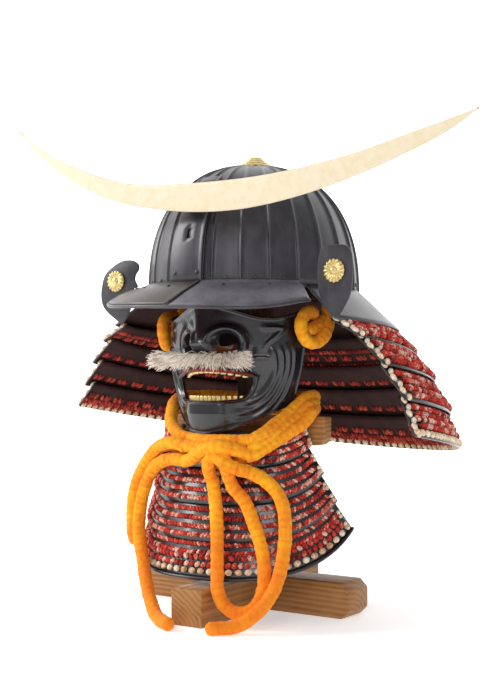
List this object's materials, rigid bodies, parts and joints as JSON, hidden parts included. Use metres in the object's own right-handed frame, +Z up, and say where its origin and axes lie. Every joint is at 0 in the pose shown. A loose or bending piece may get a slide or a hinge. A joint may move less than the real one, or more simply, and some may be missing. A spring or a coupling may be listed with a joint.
{
  "type": "samurai helmet with half mask and throat guard on a wooden stand",
  "caption": "Kabuto with ribbed bowl, visor, crescent crest, laced neck guard, black half mask with moustache, laced throat guard and tied orange cord, on a plain wooden cross stand.",
  "frame": {"origin": "on the table, in the underside of the stand's lower foot, straight below the middle of the helmet bowl", "axes": "+Z up; the face looks along -Y; +X towards the wearer's left, which the long horn of the crest points to"},
  "size_m": [0.588, 0.4283, 0.559],
  "materials": {
    "iron": "dark russet-black lacquered iron, satin, rubbed lighter on the ribs and edges",
    "lacquer": "deep black gloss lacquer",
    "lame": "black lacquer with a soft shine",
    "lacing": "red, white and pink silk braid, matt",
    "braid": "cream and orange silk braid, matt",
    "crest_gilt": "pale gilt, satin",
    "gold": "gilt, satin with darker recesses",
    "hair": "off-white and tan horse hair",
    "cord": "orange cut-pile silk cord, soft",
    "wood": "light brown softwood, oiled, matt"
  },
  "bodies": {
    "root": {"bowl": "iron", "front_plate": "iron", "visor": "iron", "crest_holder": "iron", "turnback_left": "iron", "turnback_right": "iron", "neck_flange": "iron", "mask": "lacquer", "neck_lame_1": "lame", "neck_lame_2": "lame", "neck_lame_3": "lame", "neck_lame_4": "lame", "throat_lame_1": "lame", "throat_lame_2": "lame", "throat_lame_3": "lame", "throat_lame_4": "lame", "crest": "crest_gilt", "crown_fitting": "gold", "rosette_left": "gold", "rosette_right": "gold", "teeth_lower": "gold", "teeth_upper": "gold", "moustache": "hair", "cord_jaw_upper": "cord", "cord_jaw_lower": "cord", "cord_loop_right": "cord", "cord_loop_left": "cord", "cord_tail_right": "cord", "cord_tail_left": "cord", "cheek_cord_left": "cord", "cheek_cord_right": "cord", "cord_knot": "cord", "stand_foot": "wood", "stand_beam": "wood", "stand_post": "wood", "stand_bar": "wood", "chin_rest": "wood", "head_rest": "wood"}
  },
  "joints": []
}
